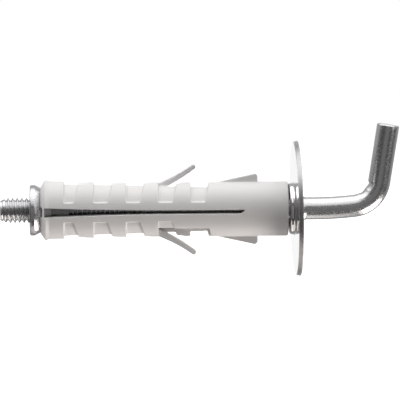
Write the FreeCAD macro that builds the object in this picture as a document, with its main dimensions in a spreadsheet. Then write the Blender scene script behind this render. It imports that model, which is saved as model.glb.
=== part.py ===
"""Hook wall plug: a barbed nylon sleeve, a cone nut, a bent hook bolt and a loose flange washer.

Lengths are millimetres and angles degrees. X runs along the bolt and points out of the wall, Z points
up. The origin is on the bolt's axis, on the face of the washer that lies against the wall.
"""

import FreeCAD, Part
import os

import Sketcher

SHEET = "sizes"

SIZES = {
    # hook bolt: rolled thread, plain shank, upset collar, slight bow, bend and leg
    "tip_reach": 45.3,
    "shank_diameter": 3.45,
    "thread_diameter": 3.9,
    "thread_length": 22.0,
    "thread_runout": 0.4,
    "tip_chamfer": 0.45,
    "collar_gap": 0.05,
    "collar_length": 1.85,
    "collar_taper": 0.5,
    "collar_rise": 0.22,
    "bow_start": 3.13,
    "bow_radius": 56.9,
    "bow_turn": 6.15,
    "bend_radius": 4.4,
    "bend_turn": 81.11,
    "leg_length": 8.95,
    "leg_chamfer": 0.2,
    # flange washer: a pressed disc with a drawn boss on its wall side
    "washer_diameter": 20.8,
    "washer_thickness": 0.7,
    "washer_edge_bevel": 0.1,
    "washer_hole_clearance": 0.08,
    "boss_depth": 0.9,
    "boss_overhang": 0.06,
    "boss_inset": 0.3,
    # cone nut
    "nut_head_inset": 0.28,
    "nut_head_thickness": 0.77,
    "nut_head_bevel": 0.15,
    "nut_cone_length": 2.58,
    "nut_cone_end_wall": 0.6,
    "nut_bore_clearance": 0.05,
    "nut_standoff": 1.65,
    "nut_rib_gap": 0.16,
    "nut_rib_clearance": 0.3,
    # sleeve: bore, mouth and nose
    "sleeve_length": 38.0,
    "sleeve_diameter": 8.4,
    "sleeve_bore_clearance": 0.3,
    "mouth_clearance": 0.1,
    "mouth_edge_round": 0.2,
    "mouth_countersink": 0.35,
    "seat_clearance": 0.05,
    "nose_lip": 0.16,
    "nose_length": 0.72,
    "flash_rise": 0.24,
    "flash_width": 0.6,
    "crest_flare": 0.28,
    "crest_flare_length": 13.0,
    # slot that parts the sleeve's two jaws
    "slot_width": 0.57,
    "slot_flare": 0.45,
    "slot_flare_length": 21.0,
    "slot_end": 6.58,
    "slot_end_slant": 0.75,
    "web_setback": 0.3,
    "web_thickness": 0.3,
    # barbs, counted from the nose
    "nose_band": 3.6,
    "nose_pitch": 4.55,
    "barb_pitch": 4.95,
    "barb_depth": 0.83,
    "floor_flare": 0.6,
    "land_width": 3.0,
    "ledge_length": 2.13,
    "nose_ledge_length": 1.5,
    "ramp_run": 0.7,
    "lead_depth": 0.2,
    "lead_length": 1.4,
    # locking wings and the recesses that they fold into
    "wing_width": 1.6,
    "wing_side_gap": 0.1,
    "wing_root_thickness": 0.98,
    "wing_tip_thickness": 0.7,
    "wing_root_depth": 0.22,
    "wing_root_angle": 21.46,
    "wing_sweep": 13.65,
    "wing_curve_radius": 25.0,
    "recess_height": 2.6,
    "recess_length": 2.8,
    "recess_slant": 0.45,
    # fins that stop the sleeve from turning
    "fin_start": 10.8,
    "fin_end": 4.66,
    "fin_height": 1.25,
    "fin_thickness": 1.1,
    "fin_corner_round": 0.45,
}

EVEN_BARBS = 3  # barbs of even pitch, after the nose band and the first barb
OUTSIDE = 3.0  # how far a cutting outline reaches beyond the surface that it cuts
SAME = 1e-4  # places and radii that differ by less are the same

doc = FreeCAD.newDocument("hook_wall_plug")


def make_sheet():
    """Every driving size as a named cell."""
    sheet = doc.addObject("Spreadsheet::Sheet", SHEET)
    for row, (alias, value) in enumerate(SIZES.items(), start=1):
        sheet.set(f"A{row}", alias.replace("_", " "))
        sheet.set(f"B{row}", str(value))
        sheet.setAlias(f"B{row}", alias)
    doc.recompute()
    return sheet


def size(name):
    """The expression that reads one cell."""
    return f"{SHEET}.{name}"


def plane(body, role):
    """One of the body's own origin planes."""
    return next(f for f in body.Origin.OriginFeatures if f.Role == role)


def new_body(label):
    body = doc.addObject("PartDesign::Body", label)
    body.Label = label
    return body


def new_sketch(body, name, role):
    sketch = body.newObject("Sketcher::SketchObject", name)
    sketch.AttachmentSupport = [(plane(body, role), "")]
    sketch.MapMode = "FlatFace"
    return sketch


def number(sketch, expression):
    value = sketch.evalExpression(expression)
    return float(getattr(value, "Value", value))


def bind(sketch, constraint, expression, name):
    """Adds a sizing constraint and ties it to an expression."""
    index = sketch.addConstraint(constraint)
    sketch.renameConstraint(index, name)
    sketch.setExpression(f"Constraints.{name}", expression)


def draw_loop(sketch, points, tag, arcs=None):
    """A closed outline through points given as pairs of expressions.

    arcs maps the number of a side to (radius expression, side of the bulge): that side is an arc.
    """
    arcs = arcs or {}
    places = [FreeCAD.Vector(number(sketch, x), number(sketch, y), 0) for x, y in points]
    count = len(points)
    sides = []
    for i, start in enumerate(places):
        end = places[(i + 1) % count]
        if i in arcs:
            radius, bulge = arcs[i]
            middle = arc_middle(start, end, number(sketch, radius), bulge)
            edge = Part.Arc(start, middle, end)
            added = sketch.addGeometry(edge, False)
            forward = sketch.getPoint(added, 1).distanceToPoint(start) < SAME
            sides.append((added, 1 if forward else 2, 2 if forward else 1))
        else:
            sides.append((sketch.addGeometry(Part.LineSegment(start, end), False), 1, 2))
    for i, (added, first, last) in enumerate(sides):
        following, following_first, _ = sides[(i + 1) % count]
        sketch.addConstraint(
            Sketcher.Constraint("Coincident", added, last, following, following_first)
        )
    for i, (added, first, last) in enumerate(sides):
        x, y = points[i]
        across = Sketcher.Constraint("DistanceX", -1, 1, added, first, places[i].x)
        up = Sketcher.Constraint("DistanceY", -1, 1, added, first, places[i].y)
        bind(sketch, across, x, f"{tag}_x{i}")
        bind(sketch, up, y, f"{tag}_y{i}")
        if i in arcs:
            radius = arcs[i][0]
            rule = Sketcher.Constraint("Radius", added, number(sketch, radius))
            bind(sketch, rule, radius, f"{tag}_radius{i}")


def arc_middle(start, end, radius, bulge):
    """The middle of the shorter arc of a radius between two points, to the left (1) or right (-1)."""
    chord = end - start
    sagitta = radius - (radius**2 - (chord.Length / 2) ** 2) ** 0.5
    left = FreeCAD.Vector(-chord.y, chord.x, 0) / chord.Length
    return start + chord / 2 + left * (bulge * sagitta)


def outline(body, name, role, loops, arcs=None):
    """A sketch of one or more closed loops on an origin plane of the body."""
    sketch = new_sketch(body, name, role)
    for n, points in enumerate(loops):
        draw_loop(sketch, points, f"loop{n}", (arcs or {}).get(n))
    return sketch


def revolve(body, name, kind, sketch):
    """A full turn of a profile about the body's X axis."""
    turned = body.newObject(kind, name)
    turned.Profile = sketch
    turned.ReferenceAxis = (sketch, ["H_Axis"])
    turned.Angle = 360
    body.Tip = turned
    return turned


def through(body, name, sketch):
    """A pocket through everything, to both sides of its sketch."""
    pocket = body.newObject("PartDesign::Pocket", name)
    pocket.Profile = sketch
    pocket.SideType = "Symmetric"
    pocket.Type = "ThroughAll"
    body.Tip = pocket
    return pocket


def one_side(body, name, kind, sketch, length, towards_back):
    """A pad or pocket from the XZ plane to the back (+Y) or to the front (-Y).

    The plane's own normal is -Y: a pad follows it and a pocket goes against it.
    """
    feature = body.newObject(kind, name)
    feature.Profile = sketch
    feature.setExpression("Length", length)
    feature.Reversed = towards_back if kind.endswith("Pad") else not towards_back
    body.Tip = feature
    return feature


def mirrored(points, sign):
    """The outline as it is (1), or mirrored in the X axis (-1)."""
    return [(x, y if sign > 0 else f"-({y})") for x, y in points]


def edges_where(shape, test):
    return [f"Edge{i}" for i, edge in enumerate(shape.Edges, start=1) if test(edge)]


def is_circle(edge, radius, along_x):
    """Whether an edge is a circle about the X axis, of this radius and at this place."""
    curve = edge.Curve
    return (
        curve.TypeId == "Part::GeomCircle"
        and abs(curve.Radius - radius) < SAME
        and curve.Center.distanceToPoint(FreeCAD.Vector(along_x, 0, 0)) < SAME
    )


def dress(body, name, kind, edges, length):
    """A fillet or chamfer on edges of the last feature."""
    if not edges:
        raise RuntimeError(f"{name}: no edge was found")
    base = body.Tip
    feature = body.newObject(kind, name)
    feature.Base = (base, edges)
    feature.setExpression("Radius" if kind.endswith("Fillet") else "Size", length)
    body.Tip = feature
    return feature


# Expressions that more than one piece uses

SHANK_RADIUS = f"({size('shank_diameter')} / 2)"
THREAD_RADIUS = f"({size('thread_diameter')} / 2)"
SLEEVE_RADIUS = f"({size('sleeve_diameter')} / 2)"
HEAD_RADIUS = f"({SLEEVE_RADIUS} - {size('nut_head_inset')})"
CONE_END_RADIUS = f"({THREAD_RADIUS} + {size('nut_cone_end_wall')})"
CONE_SLOPE = f"(({HEAD_RADIUS} - {CONE_END_RADIUS}) / {size('nut_cone_length')})"
HEAD_TO_NOSE = f"({size('nut_standoff')} - {size('nut_head_thickness')})"
SLOT_AT_NOSE = f"({size('slot_width')} + 2 * {size('slot_flare')})"
MOUTH_X = f"(-{size('boss_depth')} - {size('mouth_clearance')})"


def make_hook_bolt():
    """The bolt: one steel rod, thread-rolled at its tip, upset to a collar and bent to a hook."""
    body = new_body("hook_bolt")
    tip = f"(-{size('tip_reach')})"
    thread_end = f"({tip} + {size('thread_length')})"
    collar = f"({size('washer_thickness')} - {size('boss_depth')} + {size('collar_gap')})"
    collar_radius = f"({SHANK_RADIUS} + {size('collar_rise')})"
    collar_end = f"({collar} + {size('collar_length')})"
    rod = outline(
        body,
        "rod_profile",
        "XZ_Plane",
        [
            [
                (tip, "0"),
                (tip, f"{THREAD_RADIUS} - {size('tip_chamfer')}"),
                (f"{tip} + {size('tip_chamfer')}", THREAD_RADIUS),
                (thread_end, THREAD_RADIUS),
                (f"{thread_end} + {size('thread_runout')}", SHANK_RADIUS),
                (collar, SHANK_RADIUS),
                (collar, collar_radius),
                (f"{collar_end} - {size('collar_taper')}", collar_radius),
                (collar_end, SHANK_RADIUS),
                (size("bow_start"), SHANK_RADIUS),
                (size("bow_start"), "0"),
            ]
        ],
    )
    revolve(body, "straight_rod", "PartDesign::Revolution", rod)

    # the rod bows slightly from the washer on, then bends sharply, and ends in a straight leg
    bow, bend = f"({size('bow_turn')} * 1deg)", f"({size('bend_turn')} * 1deg)"
    bow_radius, bend_radius = size("bow_radius"), size("bend_radius")
    bow_end = (
        f"{size('bow_start')} + {bow_radius} * sin({bow})",
        f"{bow_radius} * (1 - cos({bow}))",
    )
    bend_end = (
        f"{bow_end[0]} + {bend_radius} * (sin({bend}) - sin({bow}))",
        f"{bow_end[1]} + {bend_radius} * (cos({bow}) - cos({bend}))",
    )
    leg_end = (
        f"{bend_end[0]} + {size('leg_length')} * cos({bend})",
        f"{bend_end[1]} + {size('leg_length')} * sin({bend})",
    )
    path = new_sketch(body, "hook_path", "XZ_Plane")
    draw_path(
        path, [(size("bow_start"), "0"), bow_end, bend_end, leg_end], [bow_radius, bend_radius]
    )
    section = new_sketch(body, "hook_section", "YZ_Plane")
    section.setExpression("AttachmentOffset.Base.z", size("bow_start"))
    radius = number(section, SHANK_RADIUS)
    circle = Part.Circle(FreeCAD.Vector(0, 0, 0), FreeCAD.Vector(0, 0, 1), radius)
    section.addGeometry(circle, False)
    section.addConstraint(Sketcher.Constraint("Coincident", 0, 3, -1, 1))
    bind(section, Sketcher.Constraint("Radius", 0, radius), SHANK_RADIUS, "section_radius")
    hook = body.newObject("PartDesign::AdditivePipe", "hook")
    hook.Profile = section
    hook.Spine = (path, ["Edge1", "Edge2", "Edge3"])
    body.Tip = hook
    doc.recompute()

    top = FreeCAD.Vector(number(path, leg_end[0]), 0, number(path, leg_end[1]))
    cropped = edges_where(hook.Shape, lambda edge: edge.CenterOfMass.distanceToPoint(top) < SAME)
    dress(body, "cropped_end", "PartDesign::Chamfer", cropped, size("leg_chamfer"))
    return body


def draw_path(sketch, points, radii):
    """Arcs that follow one another from the X axis, then a straight leg in line with the last."""
    places = [FreeCAD.Vector(number(sketch, x), number(sketch, y), 0) for x, y in points]
    for i, (start, end) in enumerate(zip(places, places[1:])):
        if i < len(radii):
            middle = arc_middle(start, end, number(sketch, radii[i]), -1)
            sketch.addGeometry(Part.Arc(start, middle, end), False)
            bend = Sketcher.Constraint("Radius", i, number(sketch, radii[i]))
            bind(sketch, bend, radii[i], f"path_radius{i}")
        else:
            sketch.addGeometry(Part.LineSegment(start, end), False)
        if i > 0:
            sketch.addConstraint(Sketcher.Constraint("Coincident", i - 1, 2, i, 1))
    ends = [(0, 1)] + [(i, 2) for i in range(len(places) - 1)]
    for n, ((geometry, point), place) in enumerate(zip(ends, places)):
        across = Sketcher.Constraint("DistanceX", -1, 1, geometry, point, place.x)
        up = Sketcher.Constraint("DistanceY", -1, 1, geometry, point, place.y)
        bind(sketch, across, points[n][0], f"path_x{n}")
        bind(sketch, up, points[n][1], f"path_y{n}")


def make_flange_washer():
    """The washer: pressed from sheet, its middle drawn to a boss that bears on the sleeve."""
    body = new_body("flange_washer")
    thick = size("washer_thickness")
    rim = f"({size('washer_diameter')} / 2)"
    base = f"({SLEEVE_RADIUS} + {size('boss_overhang')})"
    tip = f"({SLEEVE_RADIUS} - {size('boss_inset')})"
    depth = size("boss_depth")
    slope = f"(({base} - {tip}) / {depth})"
    wall = f"({thick} * sqrt(1 + {slope} ^ 2))"
    hole = f"({SHANK_RADIUS} + {size('washer_hole_clearance')})"
    profile = outline(
        body,
        "washer_profile",
        "XZ_Plane",
        [
            [
                (f"-{depth}", hole),
                (f"-{depth}", tip),
                ("0", base),
                ("0", rim),
                (thick, rim),
                (thick, f"{base} + {slope} * {thick} - {wall}"),
                (f"{thick} - {depth}", f"{base} + {slope} * ({thick} - {depth}) - {wall}"),
                (f"{thick} - {depth}", hole),
            ]
        ],
    )
    disc = revolve(body, "pressed_disc", "PartDesign::Revolution", profile)
    doc.recompute()
    radius = number(profile, rim)
    faces = (0.0, number(profile, thick))
    rims = edges_where(disc.Shape, lambda edge: any(is_circle(edge, radius, x) for x in faces))
    dress(body, "rim_bevels", "PartDesign::Chamfer", rims, size("washer_edge_bevel"))
    return body


def make_cone_nut():
    """The nut: a flat round head and a cone that is drawn into the sleeve's nose."""
    body = new_body("cone_nut")
    head = size("nut_head_thickness")
    bevel = size("nut_head_bevel")
    length = f"({head} + {size('nut_cone_length')})"
    bore = f"({THREAD_RADIUS} + {size('nut_bore_clearance')})"
    profile = outline(
        body,
        "nut_profile",
        "XZ_Plane",
        [
            [
                ("0", f"{bore} + {bevel}"),
                ("0", f"{HEAD_RADIUS} - {bevel}"),
                (bevel, HEAD_RADIUS),
                (head, HEAD_RADIUS),
                (length, CONE_END_RADIUS),
                (length, bore),
                (bevel, bore),
            ]
        ],
    )
    revolve(body, "turned_nut", "PartDesign::Revolution", profile)

    # two ribs fill the corner between head and cone, in line with the sleeve's slot
    rib_length = f"({HEAD_TO_NOSE} - {size('nut_rib_gap')})"
    cone_there = f"{HEAD_RADIUS} - {CONE_SLOPE} * {rib_length}"
    inside = f"{cone_there} - {bevel}"
    rib = [
        (head, inside),
        (head, f"{HEAD_RADIUS} - {bevel} / 3"),
        (f"{head} + {rib_length}", cone_there),
        (f"{head} + {rib_length}", inside),
    ]
    sketch = outline(body, "rib_outline", "XY_Plane", [mirrored(rib, 1), mirrored(rib, -1)])
    pad = body.newObject("PartDesign::Pad", "turning_stops")
    pad.Profile = sketch
    pad.SideType = "Symmetric"
    pad.setExpression("Length", f"{SLOT_AT_NOSE} - 2 * {size('nut_rib_clearance')}")
    body.Tip = pad
    nose = f"({MOUTH_X} - {size('sleeve_length')})"
    body.setExpression("Placement.Base.x", f"{nose} - {size('nut_standoff')}")
    return body


def gap_outline(face, ledge, lead):
    """The side view of the gap behind a barb: steep face, ledge, ramp and lead-in."""
    land = f"({size('land_width')} / 2)"
    above = f"({SLEEVE_RADIUS} + {OUTSIDE})"
    ramp_top = f"({face} + {ledge} + {size('ramp_run')})"
    points = [(face, land), (f"{face} + {ledge}", land)]
    if lead:
        lead_end = f"{ramp_top} + {size('lead_length')} * 1.5"
        points += [
            (ramp_top, f"{SLEEVE_RADIUS} - {size('lead_depth')}"),
            (lead_end, f"{SLEEVE_RADIUS} + {size('lead_depth')} / 2"),
            (lead_end, above),
        ]
    else:
        points += [(ramp_top, SLEEVE_RADIUS), (ramp_top, above)]
    return points + [(face, above)]


def recess_outline(start, end):
    """The side view of the long recess that a wing folds into."""
    above = f"({SLEEVE_RADIUS} + {OUTSIDE})"
    slanted = f"{end} + {size('recess_slant')}"
    low = size("recess_height")
    return [(start, low), (end, low), (slanted, SLEEVE_RADIUS), (slanted, above), (start, above)]


def make_sleeve():
    """The sleeve: one nylon moulding, slotted into two jaws, with barbs, wings and fins."""
    body = new_body("sleeve")
    nose = f"(-{size('sleeve_length')})"
    nose_face = f"({nose} + {size('nose_band')})"
    first_face = f"({nose_face} + {size('nose_pitch')})"
    faces = [f"({first_face} + {k} * {size('barb_pitch')})" for k in range(EVEN_BARBS + 1)]
    wing_face, last_face = faces[-2:]
    recess_end = f"({last_face} + {size('recess_length')})"

    make_skin(body, nose)
    ledge = size("ledge_length")
    gaps = [gap_outline(nose_face, size("nose_ledge_length"), True)]
    gaps += [gap_outline(face, ledge, True) for face in faces[:-1]]
    pocket = "PartDesign::Pocket"
    reach = size("sleeve_diameter")
    for sign, side in ((1, "upper"), (-1, "lower")):
        # full gaps run through from front to back; the last gap and the recess share the width
        full = [mirrored(points, sign) for points in gaps]
        through(body, f"{side}_gaps", outline(body, f"{side}_gap_outlines", "XZ_Plane", full))
        half = [mirrored(gap_outline(last_face, ledge, False), sign)]
        sketch = outline(body, f"{side}_half_gap_outline", "XZ_Plane", half)
        one_side(body, f"{side}_half_gap", pocket, sketch, reach, sign < 0)
    make_core(body, nose_face, recess_end)
    for sign, side in ((1, "upper"), (-1, "lower")):
        recess = [mirrored(recess_outline(wing_face, recess_end), sign)]
        sketch = outline(body, f"{side}_recess_outline", "XZ_Plane", recess)
        one_side(body, f"{side}_recess", pocket, sketch, reach, sign > 0)
    for sign, side in ((1, "upper"), (-1, "lower")):
        make_wing(body, side, sign, wing_face)
        make_fin(body, side, sign)
    cut_bore(body, nose)
    cut_slot(body, nose)
    doc.recompute()

    radius = number(body.Tip, SLEEVE_RADIUS)
    mouth = edges_where(body.Tip.Shape, lambda edge: is_circle(edge, radius, 0.0))
    dress(body, "mouth_round", "PartDesign::Fillet", mouth, size("mouth_edge_round"))
    body.setExpression("Placement.Base.x", MOUTH_X)
    return body


def seat_rim():
    """The radius of the sleeve's conical seat at its nose: the nut's cone and its clearance."""
    return f"({HEAD_RADIUS} - {CONE_SLOPE} * {HEAD_TO_NOSE} + {size('seat_clearance')})"


def make_skin(body, nose):
    """The outer form before anything is cut: nose cone, flash line, flared jaws, smooth end."""
    nose_end = f"({nose} + {size('nose_length')})"
    flared = f"({SLEEVE_RADIUS} + {size('crest_flare')})"
    skin = outline(
        body,
        "skin_profile",
        "XZ_Plane",
        [
            [
                (nose, "0"),
                (nose, f"{seat_rim()} + {size('nose_lip')}"),
                (nose_end, f"{flared} + {size('flash_rise')}"),
                (f"{nose_end} + {size('flash_width')}", flared),
                (f"{nose} + {size('crest_flare_length')}", SLEEVE_RADIUS),
                ("0", SLEEVE_RADIUS),
                ("0", "0"),
            ]
        ],
    )
    revolve(body, "skin", "PartDesign::Revolution", skin)


def make_core(body, nose_face, recess_end):
    """The floors of all the gaps: a core that swells towards the nose."""
    floor = f"({SLEEVE_RADIUS} - {size('barb_depth')})"
    start = f"({nose_face} - {size('nose_lip')})"
    end = f"({recess_end} + {size('recess_slant')} + {size('ramp_run')})"
    core = outline(
        body,
        "core_profile",
        "XZ_Plane",
        [[(start, "0"), (start, f"{floor} + {size('floor_flare')}"), (end, floor), (end, "0")]],
    )
    revolve(body, "core", "PartDesign::Revolution", core)


def make_wing(body, side, sign, face):
    """A springy wing, rooted in a barb's steep face, curving away and thinning to its tip."""
    radius = size("wing_curve_radius")
    root, tip = size("wing_root_thickness"), size("wing_tip_thickness")
    half = f"({tip} / 2)"
    first = f"({size('wing_root_angle')} * 1deg)"
    last = f"(({size('wing_root_angle')} + {size('wing_sweep')}) * 1deg)"
    centre_x = f"({face} - {radius} * sin({first}))"
    centre_z = f"({SLEEVE_RADIUS} - {size('wing_root_depth')} + {radius} * cos({first}))"

    def at(angle, inward):
        reach = f"({radius} + {inward})"
        return (
            f"{centre_x} + {reach} * sin({angle})",
            f"{centre_z} - {reach} * cos({angle})",
        )

    inner, outer = at(first, root), at(first, "0")
    end = at(last, half)
    points = [
        (f"{inner[0]} - {root}", inner[1]),
        inner,
        at(last, tip),
        (f"{end[0]} + {half} * cos({last})", f"{end[1]} + {half} * sin({last})"),
        at(last, "0"),
        outer,
        (f"{outer[0]} - {root}", outer[1]),
    ]
    arcs = {1: (f"({radius} + {root})", -sign), 2: (half, -sign), 3: (half, -sign), 4: (radius, sign)}
    sketch = outline(
        body, f"{side}_wing_outline", "XZ_Plane", [mirrored(points, sign)], {0: arcs}
    )
    gap = size("wing_side_gap")
    sketch.setExpression("AttachmentOffset.Base.z", f"-{gap}" if sign > 0 else gap)
    one_side(body, f"{side}_wing", "PartDesign::Pad", sketch, size("wing_width"), sign > 0)


def make_fin(body, side, sign):
    """A thin fin on the smooth end, rising towards the mouth."""
    start = f"(-{size('fin_start')})"
    end = f"(-{size('fin_end')})"
    top = f"({SLEEVE_RADIUS} + {size('fin_height')})"
    corner = size("fin_corner_round")
    buried = f"({SLEEVE_RADIUS} - {size('fin_thickness')} / 2)"
    points = [
        (start, buried),
        (start, SLEEVE_RADIUS),
        (f"{end} - {corner}", top),
        (end, f"{top} - {corner}"),
        (end, buried),
    ]
    sketch = outline(
        body,
        f"{side}_fin_outline",
        "XZ_Plane",
        [mirrored(points, sign)],
        {0: {2: (corner, sign)}},
    )
    fin = body.newObject("PartDesign::Pad", f"{side}_fin")
    fin.Profile = sketch
    fin.SideType = "Symmetric"
    fin.setExpression("Length", size("fin_thickness"))
    body.Tip = fin


def cut_bore(body, nose):
    """The bore that the bolt runs through, with the nut's conical seat at the nose."""
    bore = f"({THREAD_RADIUS} + {size('sleeve_bore_clearance')})"
    seat_end = f"({nose} + ({seat_rim()} - {bore}) / {CONE_SLOPE})"
    hollow = outline(
        body,
        "bore_profile",
        "XZ_Plane",
        [
            [
                (nose, "0"),
                (nose, seat_rim()),
                (seat_end, bore),
                (f"-{size('mouth_countersink')}", bore),
                ("0", f"{bore} + {size('mouth_countersink')}"),
                ("0", "0"),
            ]
        ],
    )
    revolve(body, "bore", "PartDesign::Groove", hollow)


def cut_slot(body, nose):
    """The slot between the jaws, which opens towards the nose and leaves a thin web there."""
    half = f"({size('slot_width')} / 2)"
    wide = f"({SLOT_AT_NOSE} / 2)"
    web_front = f"({nose} + {size('web_setback')})"
    web_back = f"({web_front} + {size('web_thickness')})"
    flare_start = f"({nose} + {size('slot_flare_length')})"
    end = f"(-{size('slot_end')})"
    run = f"({flare_start} - {web_back})"
    radius = f"(({run} ^ 2 + {size('slot_flare')} ^ 2) / (2 * {size('slot_flare')}))"
    slot = [
        (web_back, f"-{wide}"),
        (flare_start, f"-{half}"),
        (f"{end} - {size('slot_end_slant')}", f"-{half}"),
        (end, half),
        (flare_start, half),
        (web_back, wide),
    ]
    arcs = {0: {0: (radius, 1), 4: (radius, 1)}}
    through(body, "slot", outline(body, "slot_outline", "XZ_Plane", [slot], arcs))
    front = f"{nose} - {OUTSIDE}"
    gate = [(front, f"-{wide}"), (web_front, f"-{wide}"), (web_front, wide), (front, wide)]
    through(body, "nose_slot", outline(body, "nose_slot_outline", "XZ_Plane", [gate]))


def check_and_write(bodies):
    """Stops on any failed object, then writes one file per piece."""
    doc.recompute()
    failed = [o.Name for o in doc.Objects if {"Invalid", "Error"} & set(o.State)]
    if failed:
        raise RuntimeError("objects that did not build: " + ", ".join(failed))
    for body in bodies:
        shape = body.Shape
        if shape.isNull() or not shape.isValid():
            raise RuntimeError(f"{body.Label}: the shape is null or not valid")
        if len(shape.Solids) != 1:
            raise RuntimeError(f"{body.Label}: {len(shape.Solids)} solids where one is meant")
    os.makedirs("parts", exist_ok=True)
    for body in bodies:
        shape = body.Shape
        shape.exportStep(f"parts/{body.Label}.step")
        box = shape.optimalBoundingBox()
        print(
            f"{body.Label}: {shape.Volume:.2f} mm3, X {box.XMin:.2f} to {box.XMax:.2f},"
            f" Y {box.YMin:.2f} to {box.YMax:.2f}, Z {box.ZMin:.2f} to {box.ZMax:.2f}"
        )


make_sheet()
check_and_write([make_sleeve(), make_cone_nut(), make_hook_bolt(), make_flange_washer()])
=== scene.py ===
# %% [markdown]
# # A hook wall plug in Blender
# The object is a small wall fixing. A slotted nylon sleeve carries barbs, two springy wings and
# two fins. A cone nut sits at its nose, and a steel bolt runs through both and ends in a hook. A
# loose bright washer lies between the sleeve and the hook. The solids come from the frame, at
# their real size, and every step below gives one piece or one finish the look of the real thing.

# %% Load the frame
import math

import bmesh
import bpy
import numpy as np
from mathutils import Matrix, Vector


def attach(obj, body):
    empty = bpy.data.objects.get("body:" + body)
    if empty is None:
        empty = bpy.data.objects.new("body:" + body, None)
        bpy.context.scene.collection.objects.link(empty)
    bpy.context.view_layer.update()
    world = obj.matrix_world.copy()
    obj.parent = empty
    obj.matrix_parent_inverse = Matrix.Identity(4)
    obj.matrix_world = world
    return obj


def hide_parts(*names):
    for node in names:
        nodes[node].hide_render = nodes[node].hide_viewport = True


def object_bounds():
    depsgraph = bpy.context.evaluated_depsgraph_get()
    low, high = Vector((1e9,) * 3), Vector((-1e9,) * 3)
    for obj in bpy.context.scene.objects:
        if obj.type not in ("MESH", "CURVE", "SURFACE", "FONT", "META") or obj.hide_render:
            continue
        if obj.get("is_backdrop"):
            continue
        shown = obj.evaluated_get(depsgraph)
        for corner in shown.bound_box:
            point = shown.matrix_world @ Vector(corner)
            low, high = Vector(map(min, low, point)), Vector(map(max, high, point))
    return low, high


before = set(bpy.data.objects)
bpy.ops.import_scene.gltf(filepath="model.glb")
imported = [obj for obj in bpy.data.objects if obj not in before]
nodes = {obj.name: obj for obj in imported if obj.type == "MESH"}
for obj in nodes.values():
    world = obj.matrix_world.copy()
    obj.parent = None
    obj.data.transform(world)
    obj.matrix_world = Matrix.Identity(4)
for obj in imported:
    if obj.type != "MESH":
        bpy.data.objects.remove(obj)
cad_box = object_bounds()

MM = 0.001  # the scene is in metres, and the sizes of a small part are easier in millimetres
scene = bpy.context.scene
print("Pieces in the frame:", ", ".join(sorted(nodes)))

# %% [markdown]
# ## The camera
# The photograph looks at the plug from the front and a little from above, from about half a metre
# away, with a long lens. A camera needs only three facts for that: how many pixels one millimetre
# covers at the bolt's axis, how strongly the view converges, and which point lies in the picture's
# middle. How high it stands shows in the slot: it runs through the middle of the sleeve, but on
# the near side it lies a little below the middle of the outline.

# %% Place the camera
PHOTO_PIXELS = 400
SCALE = 6.5 / MM  # pixels to the metre at the bolt's axis
FOCAL_PIXELS = 3300.0  # the focal length, counted in pixels of the picture
MIDDLE = Vector((-14.5, 0.0, 1.40)) * MM
CAMERA_RISE = math.radians(6.2)
CAMERA_TURN = math.radians(-1.4)
CAMERA_ROLL = math.radians(-0.25)
SENSOR = 36.0  # mm, the width of a full-frame sensor

camera_data = bpy.data.cameras.new("camera")
camera_data.sensor_width = SENSOR
camera_data.lens = FOCAL_PIXELS / PHOTO_PIXELS * SENSOR
camera_data.clip_start = 10 * MM
camera = bpy.data.objects.new("camera", camera_data)
scene.collection.objects.link(camera)
distance = FOCAL_PIXELS / SCALE
turned = Matrix.Rotation(CAMERA_TURN, 3, "Z") @ Matrix.Rotation(math.pi / 2 - CAMERA_RISE, 3, "X")
towards_camera = turned @ Vector((0.0, 0.0, 1.0))
camera.location = MIDDLE + towards_camera * distance
camera.rotation_euler = (turned @ Matrix.Rotation(CAMERA_ROLL, 3, "Z")).to_euler()
scene.camera = camera
print(f"Camera: lens {camera_data.lens:.1f} mm, {distance / MM:.0f} mm from the middle")

# %% [markdown]
# ## Colours and shader nodes
# A colour picked from a real surface is an sRGB value, but Blender's shaders work with linear
# light. One function turns a hex value into linear numbers, so every colour below can be written
# the way a paint chart writes it. A second function adds a shader node with its settings and links
# in one go, and two more start and close a material.

# %% Helpers for colours and nodes
def linear(hex_colour):
    """An sRGB hex colour as linear red, green, blue and full opacity, by the sRGB curve."""
    parts = [int(hex_colour[i : i + 2], 16) / 255 for i in (0, 2, 4)]
    return [c / 12.92 if c <= 0.04045 else ((c + 0.055) / 1.055) ** 2.4 for c in parts] + [1.0]


def add_node(tree, kind, settings=None, links=None):
    """Adds a node, sets its sockets or properties by name, and links its inputs."""
    node = tree.nodes.new(kind)
    for name, value in (settings or {}).items():
        if isinstance(name, int) or name in node.inputs:
            node.inputs[name].default_value = value
        else:
            setattr(node, name, value)
    for name, source in (links or {}).items():
        tree.links.new(source, node.inputs[name])
    return node


def new_material(name):
    """An empty node material and its tree."""
    material = bpy.data.materials.new(name)
    material.use_nodes = True
    material.node_tree.nodes.clear()
    return material, material.node_tree


def finish_material(tree, shader):
    """Makes the shader the surface of its material."""
    add_node(tree, "ShaderNodeOutputMaterial", links={"Surface": shader.outputs[0]})


print("White paper, hex f2f2f2, is", [round(c, 3) for c in linear("f2f2f2")[:3]], "in linear light")

# %% [markdown]
# ## The table
# The photograph is a catalogue picture, shot on a table of translucent white acrylic that lamps
# shine through from below. A solid floor would block that light, so the table is a single sheet
# that only the camera's rays meet.

# %% Lay the table
TABLE_BELOW = 45 * MM  # how far it lies under the bolt's axis
TABLE_REACH = 600 * MM  # how far it goes on every side
DIM_WITHIN, BRIGHT_FROM = 60 * MM, 420 * MM  # distances from the washer's middle
DIM_GLOW, BRIGHT_GLOW = 0.12, 0.75  # where 1 is the picture's white

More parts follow.
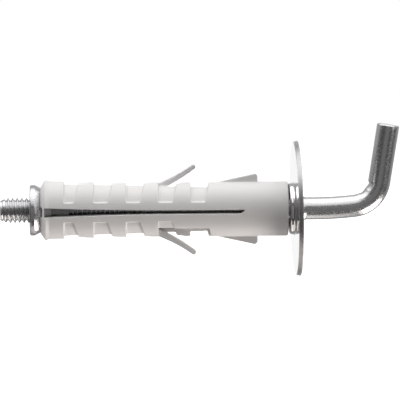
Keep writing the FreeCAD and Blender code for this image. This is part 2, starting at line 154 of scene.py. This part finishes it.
scene.view_settings.view_transform = "Standard"
table_mesh = bpy.data.meshes.new("table")
table_mesh.from_pydata(
    [
        (x * TABLE_REACH, y * TABLE_REACH, -TABLE_BELOW)
        for x, y in ((-1, -1), (1, -1), (1, 1), (-1, 1))
    ],
    [],
    [(0, 1, 2, 3)],
)
table = bpy.data.objects.new("table", table_mesh)
scene.collection.objects.link(table)
table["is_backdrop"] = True
table.visible_diffuse = table.visible_glossy = False
table.visible_transmission = table.visible_shadow = False
print(f"Table: {2 * TABLE_REACH:.1f} m square, {TABLE_BELOW / MM:.0f} mm under the bolt")

# %% [markdown]
# Translucent white acrylic gives the eye a matt white that seems lit from inside. Its material is
# two shaders added up: a diffuse skin, which the lamps above light and which takes the object's
# soft shadow, and a glow for the lamps below. The glow grows with the distance from the part until
# both together are white.

# %% Translucent white acrylic
acrylic, tree = new_material("translucent_white_acrylic")
skin = add_node(tree, "ShaderNodeBsdfDiffuse", {"Color": linear("f4f4f3")})
place = add_node(tree, "ShaderNodeTexCoord")
reach = add_node(
    tree, "ShaderNodeVectorMath", {"operation": "LENGTH"}, {0: place.outputs["Object"]}
)
by_reach = add_node(
    tree,
    "ShaderNodeMapRange",
    {
        "From Min": DIM_WITHIN,
        "From Max": BRIGHT_FROM,
        "To Min": DIM_GLOW,
        "To Max": BRIGHT_GLOW,
    },
    {"Value": reach.outputs["Value"]},
)
rays = add_node(tree, "ShaderNodeLightPath")
camera_glow = add_node(
    tree,
    "ShaderNodeMath",
    {"operation": "MULTIPLY"},
    {0: by_reach.outputs["Result"], 1: rays.outputs["Is Camera Ray"]},
)
glow = add_node(
    tree, "ShaderNodeEmission", {"Color": linear("ffffff")}, {"Strength": camera_glow.outputs[0]}
)
sheet = add_node(tree, "ShaderNodeAddShader", links={0: skin.outputs[0], 1: glow.outputs[0]})
finish_material(tree, sheet)
table_mesh.materials.append(acrylic)
print(f"Acrylic: glow {DIM_GLOW} under the part, {BRIGHT_GLOW} far from it")

# %% [markdown]
# ## The room
# Metal is a mirror, so the room round the table matters as much as the lamps. It is one ramp: it
# turns the height angle of a direction, from straight behind under the table, round past the
# camera and over the top, into brightness. The side where the camera stands is dark, which gives
# the metal its dark bands.

# %% Build the room
# height angle in degrees (0 towards the camera, 90 straight up) and the room's brightness there
ROOM = (
    (-180, 0.45),
    (-155, 0.36),
    (-130, 0.26),
    (-105, 0.16),
    (-80, 0.06),
    (-60, 0.05),
    (-10, 0.05),
    (15, 0.11),
    (40, 0.21),
    (65, 0.34),
    (90, 0.42),
    (115, 0.46),
    (140, 0.46),
    (180, 0.45),
)
ROOM_PEAK = max(level for angle, level in ROOM)
BACKDROP_FADES_IN, BACKDROP_FULL = 0.85, 0.97  # how much of a direction points away from the camera

world = bpy.data.worlds.new("studio")
scene.world = world
world.use_nodes = True
sky = world.node_tree
sky.nodes.clear()
direction = add_node(sky, "ShaderNodeTexCoord")
parts = add_node(sky, "ShaderNodeSeparateXYZ", links={0: direction.outputs["Generated"]})
forward = add_node(
    sky, "ShaderNodeMath", {"operation": "MULTIPLY", 1: -1.0}, {0: parts.outputs["Y"]}
)
height_angle = add_node(
    sky, "ShaderNodeMath", {"operation": "ARCTAN2"}, {0: parts.outputs["Z"], 1: forward.outputs[0]}
)
turn_share = add_node(
    sky,
    "ShaderNodeMath",
    {"operation": "MULTIPLY_ADD", 1: 1 / (2 * math.pi), 2: 0.5},
    {0: height_angle.outputs[0]},
)
ramp = add_node(sky, "ShaderNodeValToRGB", links={0: turn_share.outputs[0]})
stops = ramp.color_ramp.elements
while len(stops) < len(ROOM):
    stops.new(0.5)
for stop, (angle, level) in zip(stops, ROOM):
    stop.position = angle / 360 + 0.5
    stop.color = (level / ROOM_PEAK,) * 3 + (1.0,)
room = add_node(
    sky, "ShaderNodeBackground", {"Strength": ROOM_PEAK}, {"Color": ramp.outputs["Color"]}
)
print(f"Room: {len(ROOM)} stops, brightness up to {ROOM_PEAK}")

# %% [markdown]
# A room as bright as the white background would light the object far too much. The Light Path node
# tells the camera's own rays from all others, so only they see plain white, and so does metal that
# faces away from the camera, as it would in front of a real white background.

# %% Show white to the camera
white = add_node(sky, "ShaderNodeBackground", {"Color": linear("ffffff"), "Strength": 1.0})
rays = add_node(sky, "ShaderNodeLightPath")
backdrop = add_node(
    sky,
    "ShaderNodeMapRange",
    {"From Min": BACKDROP_FADES_IN, "From Max": BACKDROP_FULL},
    {"Value": parts.outputs["Y"]},
)
in_metal = add_node(
    sky,
    "ShaderNodeMath",
    {"operation": "MULTIPLY_ADD"},
    {
        0: rays.outputs["Is Glossy Ray"],
        1: backdrop.outputs["Result"],
        2: rays.outputs["Is Camera Ray"],
    },
)
shown = add_node(
    sky,
    "ShaderNodeMixShader",
    links={0: in_metal.outputs[0], 1: room.outputs[0], 2: white.outputs[0]},
)
add_node(sky, "ShaderNodeOutputWorld", links={"Surface": shown.outputs[0]})
print("World:", len(sky.nodes), "nodes")

# %% [markdown]
# ## The lamps
# Two softboxes hang overhead, with a third in front of them and a fourth at the right. Lamps shine
# up through the table as well, the strongest at the right, so the washer keeps its light off the
# end of the sleeve. A white card at the left, a grey card in front and a white panel behind fill
# in. Blender's area lamp is such a box: its size sets how soft the shadow is, and its power is
# worked out from how bright its face should look.

# %% Hang the lamps
DOWN, UP, AT_THE_PART = (0, 0, -1), (0, 0, 1), None
NEUTRAL, THROUGH_ACRYLIC = "ffffff", "fff9f5"  # the acrylic takes a little blue out of the light
LAMPS = (
    # name, centre, the way it faces, width and depth, all in metres, brightness and colour
    ("overhead_softbox_left", (-0.265, -0.01, 0.25), DOWN, 0.37, 0.32, 1.40, NEUTRAL),
    ("overhead_softbox_right", (0.085, -0.01, 0.25), DOWN, 0.33, 0.32, 1.35, NEUTRAL),
    ("front_softbox", (0.175, -0.285, 0.25), DOWN, 0.55, 0.23, 0.90, NEUTRAL),
    ("side_softbox", (0.42, -0.24, 0.10), AT_THE_PART, 0.20, 0.30, 1.00, NEUTRAL),
    ("lamp_under_table_left", (-0.25, -0.02, -0.35), UP, 0.28, 0.44, 0.80, THROUGH_ACRYLIC),
    ("lamp_under_table_middle", (0.0, 0.03, -0.35), UP, 0.11, 0.30, 1.05, THROUGH_ACRYLIC),
    ("lamp_under_table_right", (0.28, -0.05, -0.35), UP, 0.26, 0.42, 6.00, THROUGH_ACRYLIC),
    ("white_card_at_the_left", (-0.45, 0.10, -0.10), AT_THE_PART, 0.30, 0.50, 1.60, NEUTRAL),
    ("grey_card_in_front", (0.0, -0.45, -0.10), AT_THE_PART, 0.36, 0.50, 0.13, NEUTRAL),
    ("white_panel_behind", (0.0, 0.45, 0.05), AT_THE_PART, 0.90, 0.50, 0.67, NEUTRAL),
)


def add_lamp(name, centre, faces, width, depth, brightness, colour):
    """A soft rectangular lamp, its face as bright as asked, where 1 is the white of the picture."""
    data = bpy.data.lights.new(name, "AREA")
    data.shape = "RECTANGLE"
    data.size, data.size_y = width, depth
    data.energy = brightness * math.pi * width * depth
    data.color = linear(colour)[:3]
    lamp = bpy.data.objects.new(name, data)
    lamp.location = Vector(centre)
    aim = Vector(faces) if faces else -lamp.location
    lamp.rotation_euler = aim.to_track_quat("-Z", "Y").to_euler()
    lamp.visible_camera = False
    scene.collection.objects.link(lamp)
    print(f"{name}: {data.energy:.2f} W over {width:.2f} by {depth:.2f} m")


for lamp in LAMPS:
    add_lamp(*lamp)
# metal shows the white background in the panel's place, and the card at the left is matt
for unmirrored in ("white_panel_behind", "white_card_at_the_left"):
    bpy.data.objects[unmirrored].visible_glossy = False

# %% [markdown]
# ## Nylon
# The sleeve is polyamide 6, coloured light grey and moulded in a smooth tool. That gives the eye a
# satin surface: highlights are broad and soft, and light enters a little way before it comes back
# out, which softens the edges. The plastic shrinks as it sets, and that leaves a shallow
# unevenness, about a millimetre from one hollow to the next. It needs no texture, only a noise
# that lifts and lowers the surface.

# %% Nylon material
NYLON_IOR = 1.53  # typical for polyamide 6
NYLON_ROUGHNESS = 0.42  # satin: moulded nylon runs from about 0.3 to 0.6
SHRINK_SIZE, SHRINK_DEPTH = 1.2 * MM, 0.02 * MM
LIGHT_SINKS_IN = 0.5 * MM

nylon, tree = new_material("grey_white_nylon_moulded")
place = add_node(tree, "ShaderNodeTexCoord")
mottle = add_node(
    tree,
    "ShaderNodeTexNoise",
    {"Scale": 1 / SHRINK_SIZE, "Detail": 3.0, "Roughness": 0.55},
    {"Vector": place.outputs["Object"]},
)
shrink = add_node(
    tree,
    "ShaderNodeBump",
    {"Strength": 0.25, "Distance": SHRINK_DEPTH},
    {"Height": mottle.outputs[0]},
)
satin = add_node(
    tree,
    "ShaderNodeBsdfPrincipled",
    {
        "Base Color": linear("e8e6e5"),
        "Roughness": NYLON_ROUGHNESS,
        "IOR": NYLON_IOR,
        "Subsurface Weight": 0.1,
        "Subsurface Scale": LIGHT_SINKS_IN,
        "Subsurface Radius": (1.0, 0.95, 0.92),
    },
    {"Normal": shrink.outputs[0]},
)
finish_material(tree, satin)
print(f"Nylon: IOR {NYLON_IOR}, roughness {NYLON_ROUGHNESS}, hollows {SHRINK_SIZE / MM:.1f} mm")

# %% [markdown]
# ## Zinc in six finishes
# The nut is cast zinc, and the bolt and the washer are steel with a bright zinc plating. All are
# metals, so their look is a reflection, and what tells them apart is how smooth they are. One
# function makes them all: a noise in the grain's own size drives a bump and, where the finish is
# patchy, the gloss as well. A photograph of a metal surface could do the same, but a noise has no
# seams and its size is set in millimetres.
#
# Zinc plating grows in clusters of crystals a few hundredths of a millimetre across, and a
# casting's skin is about as fine. A pixel of the picture covers 0.15 mm, so such a grain would
# only blur into grey. It is drawn as coarse as it needs to show, at about two pixels, as the
# mottle on the photograph's rod is. The colours are zinc's own light grey, except two darker
# greys: the nut's part inside the sleeve, which is painted shade, and the sheared rim, which is
# partly painted shade.

# %% A metal with a grain
def metal(name, colour, roughness, grain, depth, patchiness=0.0):
    """A metal with an even grain: its size and depth in metres, and how much the gloss varies."""
    material, tree = new_material(name)
    place = add_node(tree, "ShaderNodeTexCoord")
    noise = add_node(
        tree,
        "ShaderNodeTexNoise",
        {"Scale": 1 / grain, "Detail": 3.0, "Roughness": 0.6},
        {"Vector": place.outputs["Object"]},
    )
    bump = add_node(
        tree,
        "ShaderNodeBump",
        {"Strength": 1.0, "Distance": depth},
        {"Height": noise.outputs[0]},
    )
    links = {"Normal": bump.outputs[0]}
    if patchiness:
        # this noise lies between 0.3 and 0.7 nearly everywhere
        gloss = add_node(
            tree,
            "ShaderNodeMapRange",
            {
                "From Min": 0.3,
                "From Max": 0.7,
                "To Min": roughness,
                "To Max": roughness + patchiness,
            },
            {"Value": noise.outputs[0]},
        )
        links["Roughness"] = gloss.outputs["Result"]
    shader = add_node(
        tree,
        "ShaderNodeBsdfPrincipled",
        {"Base Color": linear(colour), "Metallic": 1.0, "Roughness": roughness},
        links,
    )
    finish_material(tree, shader)
    print(f"{name}: grain {grain / MM:.2f} mm, roughness {roughness:.2f}")
    return material


# %% [markdown]
# The nut is a die casting: molten zinc is shot into a steel mould, and the casting is then tumbled
# until it is bright. The eye sees a fine grain that softens the edge of each highlight. The part
# of the nut inside the sleeve gets a finish of its own: a rougher gloss, and a darker grey that
# is painted shade, for the shadow inside the sleeve.

# %% Cast zinc
cast_zinc = metal(
    "zinc_die_cast", "cacacc", 0.20, grain=0.34 * MM, depth=0.016 * MM, patchiness=0.14
)
# the nut's part inside the sleeve: rougher, and a darker grey that is painted shade
painted_shade_zinc = metal(
    "zinc_with_painted_shade_inside", "a2a2a4", 0.34, grain=0.40 * MM, depth=0.014 * MM, patchiness=0.15
)

# %% [markdown]
# The bolt is drawn steel rod, plated bright. The plating gives the eye a mottle of small bright
# and dark specks in every band of light. Hard dies have pressed the thread smooth before it was
# plated, so it has cleaner glints and less mottle.

# %% Plated rod and thread
plated_rod = metal(
    "zinc_plated_drawn_steel", "cfcfd0", 0.22, grain=0.26 * MM, depth=0.012 * MM, patchiness=0.12
)
rolled_thread = metal(
    "zinc_plated_rolled_thread", "cfcfd0", 0.22, grain=0.42 * MM, depth=0.006 * MM, patchiness=0.10
)

# %% [markdown]
# The washer is bright rolled sheet under the same plating. Its faces are nearly a mirror, with a
# slow waviness and the same gloss all over. Where the die has sheared the rim the metal is torn,
# which gives the eye a dull edge. Its darker grey is partly the torn metal's own and partly
# painted shade, for the dark that the rim reflects.

# %% Plated sheet and its sheared rim
plated_sheet = metal("bright_zinc_plated_sheet", "e8e8e7", 0.08, grain=1.5 * MM, depth=0.003 * MM)
# the sheared rim: rougher, and a darker grey that is partly painted shade
sheared_edge_and_painted_shade = metal(
    "sheared_zinc_edge_and_painted_shade", "b8b8b8", 0.32, grain=0.40 * MM, depth=0.018 * MM, patchiness=0.15
)

# %% [markdown]
# ## One way to build every new piece
# A new piece needs a mesh, a finish and a body to move with, and it may stand for a solid of the
# frame, which is then hidden. One function does all of that.

# %% Add a piece
def triangles(mesh):
    """How many triangles the mesh comes to."""
    return sum(len(face.vertices) - 2 for face in mesh.polygons)


def add_piece(name, mesh, materials, body, replaces=None):
    """A new piece of the object: its mesh, finishes, body and the solid it stands for, which it
    hides.
    """
    piece = bpy.data.objects.new(name, mesh)
    scene.collection.objects.link(piece)
    for material in materials:
        mesh.materials.append(material)
    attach(piece, body)
    if replaces:
        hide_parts(replaces)
    print(f"{name}: {triangles(mesh)} triangles, on the {body}")


# %% [markdown]
# ## Skins over rings
# The bolt, the washer and the nut's neck are all round, so each is a row of rings with a skin of
# four-cornered faces between them. The rod's rings follow one another along it, and its two ends
# are closed. For a turned piece the rings are copies of its outline, swung about the axis until
# the last meets the first, as on a lathe. Blender has a Screw modifier for turned pieces, but it
# can't make the rod's thread, and one function for both is easier to follow.

# %% Skin rings and turn outlines
def skinned(name, rings, closed=False, crisp=()):
    """A smooth mesh over rings of points, in metres.

    A closed row joins its last ring to its first, and an open one gets a face at both ends. The
    rings numbered in crisp keep a sharp edge.
    """
    build = bmesh.new()
    loops = [[build.verts.new(point) for point in ring] for ring in rings]
    count = len(loops[0])
    for near, far in zip(loops, loops[1:] + (loops[:1] if closed else [])):
        for i in range(count):
            j = (i + 1) % count
            build.faces.new((near[i], near[j], far[j], far[i]))
    if not closed:
        build.faces.new(loops[0][::-1])
        build.faces.new(loops[-1])
    bmesh.ops.recalc_face_normals(build, faces=build.faces)
    for face in build.faces:
        face.smooth = True
    for number in crisp:
        for i in range(count):
            edge = build.edges.get((loops[number][i], loops[number][(i + 1) % count]))
            edge.smooth = False
    mesh = bpy.data.meshes.new(name)
    build.to_mesh(mesh)
    build.free()
    return mesh


def turned_piece(name, outline, steps):
    """A mesh turned about the bolt's axis from a closed outline of (x, radius) points in metres."""
    rings = []
    for step in range(steps):
        swing = 2 * math.pi * step / steps
        rings.append([(x, r * math.cos(swing), r * math.sin(swing)) for x, r in outline])
    return skinned(name, rings, closed=True)


# %% [markdown]
# A turned piece looks real only where its corners are round and its flats are flat. Every corner
# of an outline therefore becomes a small arc. Smooth shading then blends the direction of
# neighbouring faces, which would make a long flat face look dished, so the outline gets two more
# points close to the ends of each long run, and the blend stays between them.

# %% Round the corners and hold the flats
ARC_STEPS = 5
FLAT_MARGIN = 0.05 * MM


def rounded(corners):
    """A closed outline whose corners, given as (x, radius, rounding), are drawn as arcs."""
    points = []
    for i, (x, y, rounding) in enumerate(corners):
        if rounding <= 0:
            points.append((x, y))
            continue
        here = Vector((x, y))
        before = (Vector(corners[i - 1][:2]) - here).normalized()
        after = (Vector(corners[(i + 1) % len(corners)][:2]) - here).normalized()
        half = before.angle(after) / 2
        centre = here + (before + after).normalized() * (rounding / math.sin(half))
        start = here + before * (rounding / math.tan(half)) - centre
        end = here + after * (rounding / math.tan(half)) - centre
        turn = start.angle_signed(end)
        for step in range(ARC_STEPS + 1):
            swung = Matrix.Rotation(-turn * step / ARC_STEPS, 2) @ start
            points.append(tuple(centre + swung))
    return points


def held_flat(outline):
    """The outline with a point added close to each end of its long runs."""
    held = []
    for here, there in zip(outline, outline[1:] + outline[:1]):
        here, there = Vector(here), Vector(there)
        held.append(tuple(here))
        if (there - here).length > 4 * FLAT_MARGIN:
            step = (there - here).normalized() * FLAT_MARGIN
            held += [tuple(here + step), tuple(there - step)]
    return held


sample = [(0.0, 0.0, 0.1), (1.0, 0.0, 0.1), (1.0, 1.0, 0.1), (0.0, 1.0, 0.1)]
print("A square with round corners has", len(rounded(sample)), "points")

# %% [markdown]
# ## The bolt
# A bolt like this starts as a drawn steel rod. Its thread is rolled, not cut: hard dies press the
# valleys in and the metal flows up into the crests, so the crests are rounded and stand proud of
# the plain shank. Near the washer the rod is upset into a small collar, and then it is bent round
# a die. A curve with a round bevel could give the bent rod, but not its thread, its collar or its
# creases. So the mesh is rings of points along a centre line, and each ring's radius is a function
# of where it is and, in the thread, of the angle too.

# %% Bolt sizes
# in millimetres, with angles in degrees
PITCH = 0.7  # an M4 thread
CREST_RADIUS, ROOT_RADIUS, SHANK_RADIUS = 1.95, 1.53, 1.725
TIP_X, THREAD_END_X = -45.2, -23.3
TIP_CHAMFER, LEAD = 0.42, 1.1  # how much thinner the tip is, and how far on it is full
TIP_EDGE = 0.12  # a last small step down to the tip's end face
RUNOUT = 0.9  # the length in which the thread fades into the shank
COLLAR_X, COLLAR_RADIUS = -0.15, 1.945
COLLAR_EDGE = ((0.0, 0.08), (0.03, 0.02), (0.09, 0.0))  # its rounded edge: distance on, and inset
FALL_X, FALL_LENGTH = 1.0, 0.9  # where the collar falls back to the shank
BOW_START, BOW_RADIUS, BOW_TURN = 3.13, 56.9, 6.15
BEND_RADIUS, BEND_TURN = 4.4, 81.11
CREASES = ((24.0, 0.0), (36.5, 0.13), (54.0, 0.03), (73.0, 0.22), (80.0, 0.0))  # turn and depth
CREASE_REACH = 0.45  # a crease covers the inner side of the rod from this share of its height up
LEG_LENGTH, CROP_BEVEL = 8.95, 0.2
print(f"Bolt: {2 * CREST_RADIUS} mm over the thread, pitch {PITCH} mm, rod {2 * SHANK_RADIUS} mm")

# %% [markdown]
# A thread is one ridge that winds round the rod. On any ring, the depth of its surface depends
# only on how many turns from the ridge's crest it is, and a right-hand thread moves on by one
# pitch as the angle goes once round. The flanks stand at 60 degrees to one another. Where a flank
# meets the root, a soft minimum of the two rounds the valley, as the dies do.

# %% The rolled thread
CREST_FLAT = PITCH / 14  # half the width of the crest's flat top
FLANK_SLOPE = math.sqrt(3)  # depth gained to the millimetre on a 60 degree thread
ROOT_SHARPNESS = 18  # to the millimetre: a higher number gives a sharper valley
THREAD_START = 0.5  # turns from the top at which the ridge begins


def thread_depth(turns):
    """How far below the crest the thread's surface lies, for an array of turns from a crest."""
    away = np.abs((turns + 0.5) % 1.0 - 0.5) * PITCH
    flank = np.clip((away - CREST_FLAT) * FLANK_SLOPE, 0, None)
    deepest = CREST_RADIUS - ROOT_RADIUS
    return deepest - np.logaddexp(0, (deepest - flank) * ROOT_SHARPNESS) / ROOT_SHARPNESS


def thread_radius(x, angles):
    """The rolled thread's radius on the ring at x: fading out at one end, chamfered at the tip."""
    turns = (x - TIP_X) / PITCH - angles / (2 * math.pi) + THREAD_START
    ridge = CREST_RADIUS - np.clip(thread_depth(turns), 0, None)
    fade = np.clip((THREAD_END_X - x) / RUNOUT, 0, 1)
    ridge = SHANK_RADIUS + (ridge - SHANK_RADIUS) * fade
    return np.minimum(ridge, CREST_RADIUS - TIP_CHAMFER + (x - TIP_X) * TIP_CHAMFER / LEAD)


valley = thread_depth(np.array([0.5]))[0]
print(f"Thread: {valley:.2f} mm deep, {(THREAD_END_X - TIP_X) / PITCH:.0f} turns")

# %% [markdown]
# The straight part comes first, from the tip to the far side of the collar. The thread needs many
# rings to a pitch, and the plain shank only a few.

# %% Rings along the straight rod
RING_POINTS, RINGS_PER_PITCH, RINGS_PER_STRETCH = 72, 14, 12
TIP_BEVEL, PAST = 0.02, 0.05  # how long the tip's step is, and how far a stretch runs past a change

angles = np.linspace(0, 2 * math.pi, RING_POINTS, endpoint=False)
rod = []  # for each ring: its middle's x and z, its lean in radians, its radii, and if it is crisp


def add_ring(x, radii, z=0.0, lean=0.0, crisp=False):
    """One more ring of the rod. Its radii are one number, or one for each of its points."""
    rod.append((x, z, lean, np.broadcast_to(radii, RING_POINTS), crisp))


add_ring(TIP_X, CREST_RADIUS - TIP_CHAMFER - TIP_EDGE, crisp=True)
for x in np.arange(TIP_X + TIP_BEVEL, THREAD_END_X, PITCH / RINGS_PER_PITCH):
    add_ring(x, thread_radius(x, angles))
for x in np.linspace(THREAD_END_X, COLLAR_X - PAST, RINGS_PER_STRETCH):
    add_ring(x, SHANK_RADIUS)
add_ring(COLLAR_X, SHANK_RADIUS, crisp=True)
for along, inset in COLLAR_EDGE:
    add_ring(COLLAR_X + along, COLLAR_RADIUS - inset)
for x in np.linspace(FALL_X - PAST, FALL_X + FALL_LENGTH + PAST, RINGS_PER_STRETCH):
    fallen = min(1, max(0, (x - FALL_X) / FALL_LENGTH))
    height = 0.5 + 0.5 * math.cos(math.pi * fallen)
    add_ring(x, SHANK_RADIUS + (COLLAR_RADIUS - SHANK_RADIUS) * height)
print("Straight rod:", len(rod), "rings")

# %% [markdown]
# The rod's centre line runs straight out of the sleeve, bows a little and then turns up through
# the bend. The forming die leaves two shallow creases in the bend's inner side, so there the top
# of each ring is pushed in. The leg's cropped end has a small worn edge.

# %% Rings through the bow, the bend and the leg
BOW_RINGS, BEND_RINGS, LEG_RINGS = 6, 70, 14
ARCS = (
    (BOW_RADIUS, 0.0, BOW_TURN, BOW_RINGS),
    (BEND_RADIUS, BOW_TURN, BEND_TURN, BEND_RINGS),
)
CROP_SHARES = (0.35, 0.7, 1.0)  # where along the worn edge its rings lie
CROP_WEAR = 0.96  # how near the worn edge comes to a full quarter round

inner_side = np.clip((np.sin(angles) - CREASE_REACH) / (1 - CREASE_REACH), 0, 1)
crease_turns, crease_depths = zip(*CREASES)
x, z = BOW_START, 0.0
for radius, from_turn, to_turn, steps in ARCS:
    lean = math.radians(from_turn)
    centre_x, centre_z = x - radius * math.sin(lean), z + radius * math.cos(lean)
    for turn in np.linspace(from_turn, to_turn, steps, endpoint=False):
        lean = math.radians(turn)
        dent = np.interp(turn, crease_turns, crease_depths)
        x, z = centre_x + radius * math.sin(lean), centre_z - radius * math.cos(lean)
        add_ring(x, SHANK_RADIUS - dent * inner_side, z, lean)
    lean = math.radians(to_turn)
    x, z = centre_x + radius * math.sin(lean), centre_z - radius * math.cos(lean)
leg_x, leg_z, leg_lean = x, z, lean


def add_leg_ring(along, inset=0.0, crisp=False):
    """A ring of the straight leg, this far from the end of the bend."""
    x, z = leg_x + along * math.cos(leg_lean), leg_z + along * math.sin(leg_lean)
    add_ring(x, SHANK_RADIUS - inset, z, leg_lean, crisp)


for along in np.linspace(0, LEG_LENGTH - CROP_BEVEL, LEG_RINGS):
    add_leg_ring(along)
for share in CROP_SHARES:
    inset = CROP_BEVEL * (1 - math.sqrt(1 - share**2 * CROP_WEAR))
    add_leg_ring(LEG_LENGTH - CROP_BEVEL * (1 - share), inset, crisp=share == 1.0)
print(f"Whole rod: {len(rod)} rings, its leg leaning {90 - BEND_TURN:.2f} degrees")

# %% [markdown]
# Each ring stands square to the centre line, so it is tipped by the rod's lean there. The faces of
# the thread get the thread's finish, and all others the rod's.

# %% Skin the rod
def ring_points(x, z, lean, radii):
    """The points of one ring of the rod, in metres."""
    middle, across = Vector((x, 0, z)), Vector((0, 1, 0))
    up = Vector((-math.sin(lean), 0, math.cos(lean)))
    return [
        (middle + across * (r * math.cos(a)) + up * (r * math.sin(a))) * MM
        for r, a in zip(radii.tolist(), angles.tolist())
    ]


bolt_mesh = skinned(
    "bolt",
    [ring_points(*ring[:4]) for ring in rod],
    crisp=[number for number, ring in enumerate(rod) if ring[4]],
)
for face in bolt_mesh.polygons:
    face.material_index = int(face.center.x < THREAD_END_X * MM)
add_piece(
    "threaded_hook_bolt",
    bolt_mesh,
    (plated_rod, rolled_thread),
    body="bolt",
    replaces="hook_bolt",
)

# %% [markdown]
# ## The sleeve and the nut
# Moulded and cast parts have no knife edges: the melt never quite fills a sharp corner. The solids
# have exact corners. A bevel is the usual cure, but it breaks down where many small edges meet, as
# they do round the barbs. So a copy of each solid is rebuilt from small cubes of space, which
# rounds every edge by about a tenth of a millimetre, and then smoothed a little. The rebuilt mesh
# has far more faces than its flat sides need, so the last step thins them out.

# %% Soften the moulded and cast pieces
def softened(node, cube, smooth_steps, keep):
    """A copy of a solid's mesh with softly rounded edges."""
    source = nodes[node]
    copy = bpy.data.objects.new(node + "_copy", source.data.copy())
    copy.data.transform(source.matrix_world)
    scene.collection.objects.link(copy)
    rebuild = copy.modifiers.new("rebuild", "REMESH")
    rebuild.mode = "VOXEL"
    rebuild.voxel_size = cube
    smooth = copy.modifiers.new("smooth", "SMOOTH")
    smooth.factor = 0.5
    smooth.iterations = smooth_steps
    thin = copy.modifiers.new("thin", "DECIMATE")
    thin.ratio = keep
    graph = bpy.context.evaluated_depsgraph_get()
    mesh = bpy.data.meshes.new_from_object(copy.evaluated_get(graph))
    bpy.data.objects.remove(copy)
    mesh.materials.clear()
    mesh.shade_smooth()
    return mesh


sleeve_mesh = softened("sleeve", cube=0.09 * MM, smooth_steps=2, keep=0.3)
add_piece("soft_edged_sleeve", sleeve_mesh, (nylon,), "sleeve", "sleeve")

# %% [markdown]
# The nut gets the same treatment with finer cubes, because its edges are crisper. It has two
# finishes, and a face takes the duller one, with its grey darkened as painted shade, where it
# lies inside the sleeve.

# %% Soften the nut
SLEEVE_NOSE_X = -38.9  # where the nut enters the sleeve

nut_mesh = softened("cone_nut", cube=0.06 * MM, smooth_steps=2, keep=0.6)
# faces inside the sleeve take the zinc whose darker grey is painted shade
for face in nut_mesh.polygons:
    face.material_index = int(face.center.x > SLEEVE_NOSE_X * MM)
add_piece("cast_cone_nut", nut_mesh, (cast_zinc, painted_shade_zinc), "nut", "cone_nut")

# %% [markdown]
# The nut's threaded hole goes on in a short thin neck, deeper in the sleeve. It shows through the
# slot just behind the nose, in the same dull zinc whose darker grey is painted shade.

# %% Turn the nut's neck
NECK_FROM_X, NECK_TO_X = -37.35, -34.6
NECK_BORE, NECK_RADIUS, NECK_STEPS = 2.0, 2.2, 64

neck_outline = [
    (NECK_FROM_X * MM, NECK_BORE * MM, 0),
    (NECK_TO_X * MM, NECK_BORE * MM, 0.05 * MM),
    (NECK_TO_X * MM, NECK_RADIUS * MM, 0.08 * MM),
    (NECK_FROM_X * MM, NECK_RADIUS * MM, 0),
]
neck_mesh = turned_piece("neck", held_flat(rounded(neck_outline)), NECK_STEPS)
# the neck also takes the zinc whose darker grey is painted shade
add_piece("tapped_neck", neck_mesh, (painted_shade_zinc,), "nut")

# %% [markdown]
# ## The washer
# The washer is pressed from bright sheet in one stroke. The punch draws its middle to a short
# boss, so every bend in it is a smooth radius, and the die shears its rim, which leaves one edge
# rolled over and the cut itself dull. A disc that is the same all round is best turned from its
# outline.

# %% Turn the washer
WASHER_RADIUS, WASHER_SHEET, HOLE_RADIUS, WASHER_STEPS = 10.4, 0.7, 1.81, 180
BOSS_TIP, BOSS_FLOOR = -0.87, -0.22
BOSS_TIP_RADIUS, BOSS_BASE_RADIUS, BOSS_WALL = 3.97, 4.02, 0.66
RIM_TAPER, RIM_BURNISHED = 0.22, 0.52  # the torn part of the sheared rim, and where it ends
RIM = WASHER_RADIUS - 0.01  # a hair inside the solid's, because a leaning rim reaches further
SHEARED_FROM_X = 0.04  # nearer to the sleeve than this, the rim's rolled edge is still bright

washer_corners = [
    (BOSS_TIP, HOLE_RADIUS, 0.06),
    (BOSS_TIP, BOSS_TIP_RADIUS, 0.32),
    (0.0, BOSS_BASE_RADIUS, 0.40),
    (0.0, WASHER_RADIUS - RIM_TAPER, 0.10),
    (RIM_BURNISHED, RIM, 0.05),
    (WASHER_SHEET, RIM, 0.04),
    (WASHER_SHEET, BOSS_BASE_RADIUS - BOSS_WALL, 0.35),
    (BOSS_FLOOR, BOSS_TIP_RADIUS - BOSS_WALL, 0.10),
    (BOSS_FLOOR, HOLE_RADIUS, 0.04),
]
washer_outline = rounded([tuple(size * MM for size in corner) for corner in washer_corners])
washer_mesh = turned_piece("washer", held_flat(washer_outline), WASHER_STEPS)
# rim faces past the rolled edge take the sheared finish, whose darker grey is partly painted shade
for face in washer_mesh.polygons:
    out_from_axis = math.hypot(face.center.y, face.center.z)
    at_rim = out_from_axis > (WASHER_RADIUS - RIM_TAPER) * MM
    face.material_index = int(at_rim and face.center.x > SHEARED_FROM_X * MM)
print(f"Washer: {2 * WASHER_RADIUS:.1f} mm across, sheet {WASHER_SHEET} mm")

# %% [markdown]
# The washer is loose on the bolt, so it leans a little, as far as its play lets it. The mesh is
# turned about the middle of its hole, and the piece itself stays where the solid is.

# %% Lean the washer
LEAN_TO_WALL, LEAN_TO_CAMERA = math.radians(0.9), math.radians(1.3)

tilt = Matrix.Rotation(-LEAN_TO_WALL, 4, "Y") @ Matrix.Rotation(LEAN_TO_CAMERA, 4, "Z")
hole_middle = Matrix.Translation(((BOSS_TIP + BOSS_FLOOR) / 2 * MM, 0, 0))
washer_mesh.transform(hole_middle @ tilt @ hole_middle.inverted())
add_piece(
    "pressed_flange_washer",
    washer_mesh,
    (plated_sheet, sheared_edge_and_painted_shade),
    body="washer",
    replaces="flange_washer",
)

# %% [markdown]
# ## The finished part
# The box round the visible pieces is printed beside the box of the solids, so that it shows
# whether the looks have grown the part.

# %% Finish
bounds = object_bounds()
for box, (low, high) in (("solids", cad_box), ("looks", bounds)):
    print(f"Box of the {box}:", " by ".join(f"{(b - a) / MM:.1f}" for a, b in zip(low, high)), "mm")
